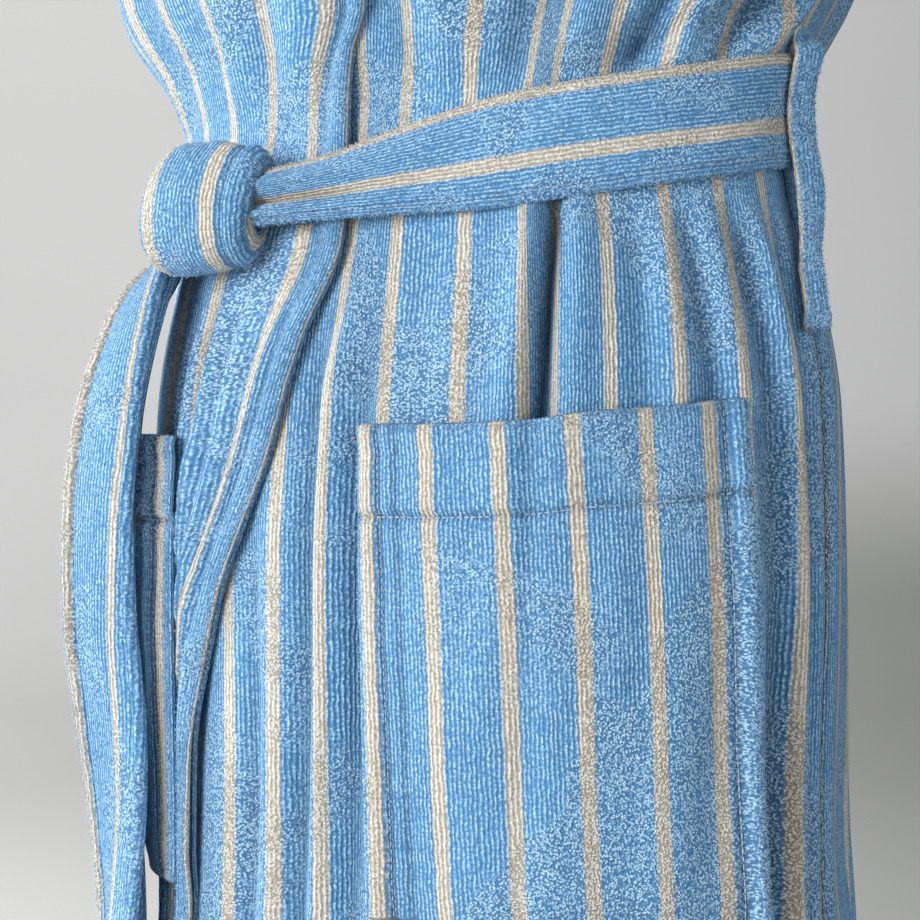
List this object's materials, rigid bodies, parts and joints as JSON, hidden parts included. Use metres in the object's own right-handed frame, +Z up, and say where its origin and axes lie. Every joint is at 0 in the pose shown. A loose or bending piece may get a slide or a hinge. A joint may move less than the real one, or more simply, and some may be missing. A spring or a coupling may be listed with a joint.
{
  "type": "bathrobe",
  "caption": "Wrap-over terry bathrobe in its worn shape, with shawl collar, turned-back cuffs, patch pockets and a tied belt with hanging ends; sleeves and belt ends swing.",
  "frame": {"origin": "in the middle of the neck opening, level with the tops of the shoulder seams, where a wearer's or a hanger's shoulders carry the robe", "axes": "+X towards the wearer's left, +Y towards the wearer's back, +Z up"},
  "size_m": [1.333, 0.3463, 1.1906],
  "materials": {
    "terry": "looped terry pile, light blue with narrow beige stripes",
    "terry_collar": "looped terry pile, light blue with narrow beige stripes",
    "terry_belt": "short terry pile, light blue with narrow beige stripes",
    "cotton_tape": "flat woven cotton"
  },
  "bodies": {
    "robe": {"back_panel": "terry", "front_panel_left": "terry", "front_panel_right": "terry", "front_facing_left": "terry", "front_facing_right": "terry", "collar_left": "terry_collar", "collar_right": "terry_collar", "neck_tape": "cotton_tape", "side_seam_tape_left": "cotton_tape", "side_seam_tape_right": "cotton_tape", "pocket_left": "terry", "pocket_right": "terry", "belt_band": "terry_belt", "belt_knot": "terry_belt", "belt_loop_left": "terry_belt", "belt_loop_right": "terry_belt"},
    "sleeve_left": {"sleeve_left": "terry", "cuff_left": "terry_collar"},
    "sleeve_right": {"sleeve_right": "terry", "cuff_right": "terry_collar"},
    "tail_front": {"belt_tail_front": "terry_belt"},
    "tail_back": {"belt_tail_back": "terry_belt"},
    "hanging_loop": {"hanging_loop": "cotton_tape"}
  },
  "joints": [
    {"name": "sleeve_left_swing", "type": "hinge", "parent": "robe", "child": "sleeve_left", "pos_m": [0.226, 0, -0.175], "axis": [1, 0, 0], "range_deg": [-60, 30]},
    {"name": "sleeve_right_swing", "type": "hinge", "parent": "robe", "child": "sleeve_right", "pos_m": [-0.226, 0, -0.175], "axis": [1, 0, 0], "range_deg": [-60, 30]},
    {"name": "tail_front_swing", "type": "hinge", "parent": "robe", "child": "tail_front", "pos_m": [-0.101, -0.151, -0.5015], "axis": [-0.9397, 0.3419, 0], "range_deg": [0, 60]},
    {"name": "tail_back_swing", "type": "hinge", "parent": "robe", "child": "tail_back", "pos_m": [-0.108, -0.131, -0.5035], "axis": [0.5, 0.866, 0], "range_deg": [0, 24]},
    {"name": "hanging_loop_turn", "type": "hinge", "parent": "robe", "child": "hanging_loop", "pos_m": [0, 0.062, -0.0085], "axis": [-1, 0, 0], "range_deg": [0, 150]}
  ]
}
